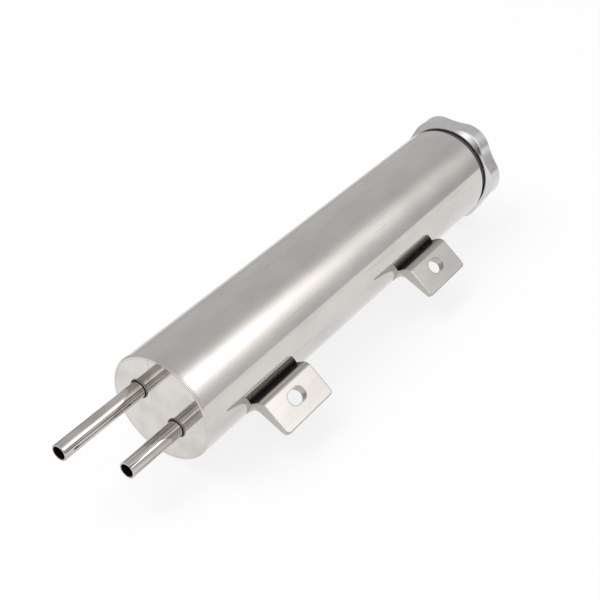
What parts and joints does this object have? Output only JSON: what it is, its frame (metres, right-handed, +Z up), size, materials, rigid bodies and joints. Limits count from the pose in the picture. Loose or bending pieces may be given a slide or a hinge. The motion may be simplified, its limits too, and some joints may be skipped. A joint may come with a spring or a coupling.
{
  "type": "coolant_overflow_tank",
  "caption": "Polished stainless coolant overflow tank, 50.8 mm tube with two slotted lugs, two plain hose pipes and a six-lobed aluminium screw cap",
  "frame": {"origin": "Middle of the part's footprint as it lies on a flat surface, at the height of that surface.", "axes": "+X along the tank from the hose pipes to the screw cap, +Z up as the tank lies, +Y away from the lugs."},
  "size_m": [0.2936, 0.0728, 0.0533],
  "materials": {
    "polished_stainless": "polished",
    "turned_stainless": "turned",
    "drawn_stainless": "bright drawn",
    "weld_metal": "weld bead",
    "cap_aluminium": "satin",
    "seal_rubber": "matte"
  },
  "bodies": {
    "tank": {"tank_tube": "polished_stainless", "bottom_plate": "polished_stainless", "bottom_seam": "polished_stainless", "neck_ring": "turned_stainless", "neck_seam": "weld_metal", "overflow_pipe": "drawn_stainless", "overflow_pipe_weld": "weld_metal", "radiator_pipe": "drawn_stainless", "radiator_pipe_weld": "weld_metal", "lower_bracket": "polished_stainless", "lower_bracket_weld": "polished_stainless", "upper_bracket": "polished_stainless", "upper_bracket_weld": "polished_stainless"},
    "seal": {"cap_o_ring": "seal_rubber"},
    "cap": {"filler_cap": "cap_aluminium"}
  },
  "joints": [
    {"name": "cap_rise", "type": "slide", "parent": "tank", "child": "seal", "axis": [1, 0, 0], "range_m": [0, 0.009]},
    {"name": "cap_turn", "type": "hinge", "parent": "seal", "child": "cap", "pos_m": [0.13275, 0.00784, 0.02665], "axis": [1, 0, 0], "range_deg": [0, 1620]}
  ],
  "couplings": [
    {"joint": "cap_rise", "follows": "cap_turn", "m_per_rad": 0.00031831}
  ]
}
